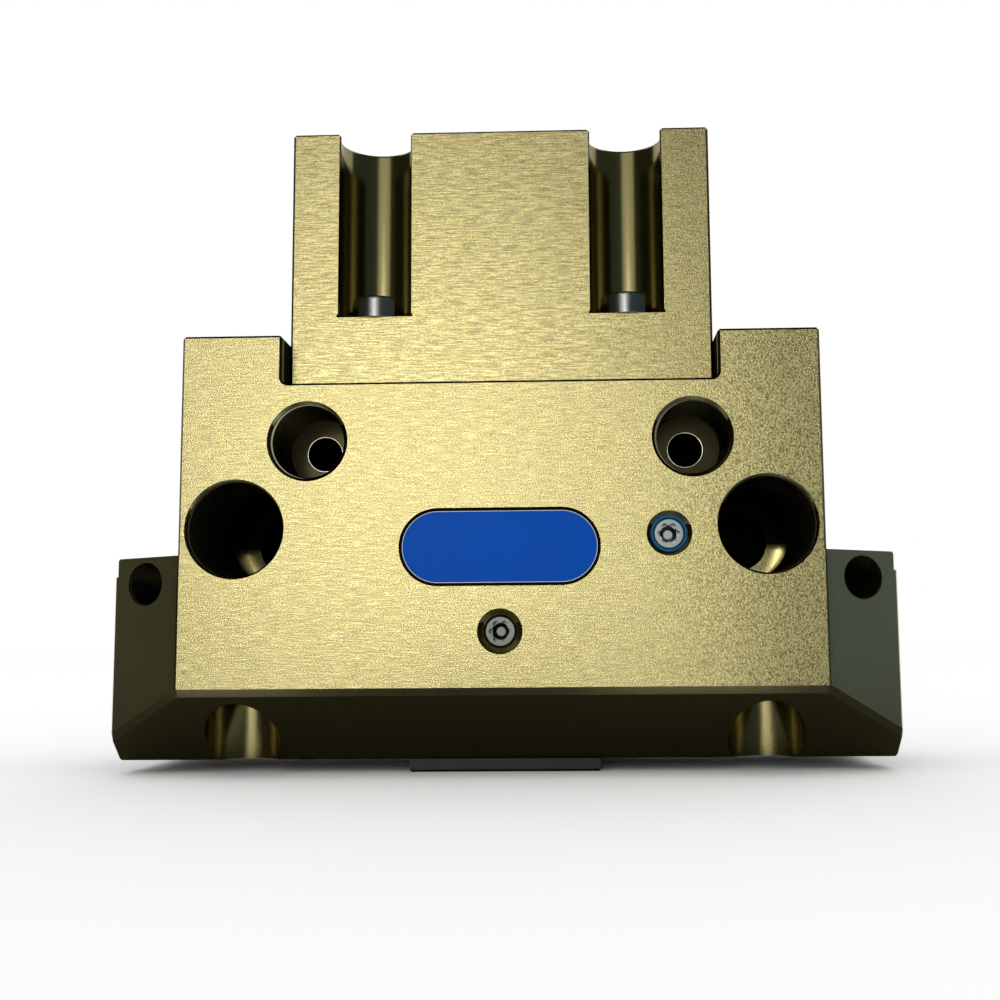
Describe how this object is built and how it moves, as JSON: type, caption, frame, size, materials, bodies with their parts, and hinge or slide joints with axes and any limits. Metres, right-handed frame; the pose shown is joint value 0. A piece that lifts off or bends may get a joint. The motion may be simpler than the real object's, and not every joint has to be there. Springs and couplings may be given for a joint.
{
  "type": "parallel gripper",
  "caption": "Pneumatic parallel gripper with wide jaw guide, wedge-hook drive and a spring housing that keeps the base jaws closed.",
  "frame": {"origin": "middle of the mounting face on the two shoulders, on the axis of the piston", "axes": "+Z away from the jaws through the spring housing, +X the way the right jaw opens, -Y out of the face with the air ports"},
  "size_m": [0.125, 0.05, 0.1041],
  "materials": {
    "gold_alloy": "hard anodised, champagne gold, brushed and lightly blasted",
    "label_film": "blue film with a pale edge, blank",
    "plug_steel": "bright turned steel",
    "cover_steel": "black oxide, satin",
    "screw_steel": "dark polished steel",
    "seal_rubber": "matt black",
    "cap_alloy": "anodised, turned",
    "ring_steel": "phosphated spring steel",
    "filter_bronze": "sintered",
    "spring_steel": "drawn spring wire",
    "bush_bronze": "sintered bronze",
    "piston_alloy": "turned",
    "guide_plastic": "filled fluoropolymer",
    "drive_steel": "hardened and ground",
    "jaw_steel": "hardened and ground"
  },
  "bodies": {
    "housing": {"housing": "gold_alloy", "nameplate": "label_film", "feed_plug": "plug_steel", "grease_plug": "plug_steel", "cover_plate": "cover_steel", "cover_plate_screws": "screw_steel", "spring_housing": "gold_alloy", "spring_housing_screws": "screw_steel", "spigot_seal": "seal_rubber", "spring_chamber_cap": "cap_alloy", "cap_seal": "seal_rubber", "cap_retaining_ring": "ring_steel", "vent_filter": "filter_bronze", "outer_spring": "spring_steel", "inner_spring": "spring_steel", "lower_rod_bush": "bush_bronze", "lower_rod_seal": "seal_rubber", "upper_rod_bush": "bush_bronze", "upper_rod_seal": "seal_rubber"},
    "drive": {"piston": "piston_alloy", "piston_seal": "seal_rubber", "piston_guide_ring": "guide_plastic", "wedge_hook": "drive_steel", "pull_rod": "drive_steel", "stud_seal": "seal_rubber", "spring_plate": "drive_steel", "spring_plate_screw": "screw_steel"},
    "right_jaw": {"right_base_jaw": "jaw_steel"},
    "left_jaw": {"left_base_jaw": "jaw_steel"}
  },
  "joints": [
    {"name": "piston_stroke", "type": "slide", "parent": "housing", "child": "drive", "axis": [0, 0, -1], "range_m": [0, 0.0125], "stiffness_N_per_m": 9500, "springref_m": -0.02, "deforming": ["outer_spring", "inner_spring"]},
    {"name": "right_jaw_slide", "type": "slide", "parent": "housing", "child": "right_jaw", "axis": [1, 0, 0], "range_m": [0, 0.01]},
    {"name": "left_jaw_slide", "type": "slide", "parent": "housing", "child": "left_jaw", "axis": [-1, 0, 0], "range_m": [0, 0.01]}
  ],
  "couplings": [
    {"joint": "right_jaw_slide", "follows": "piston_stroke", "ratio": 0.8},
    {"joint": "left_jaw_slide", "follows": "piston_stroke", "ratio": 0.8}
  ]
}
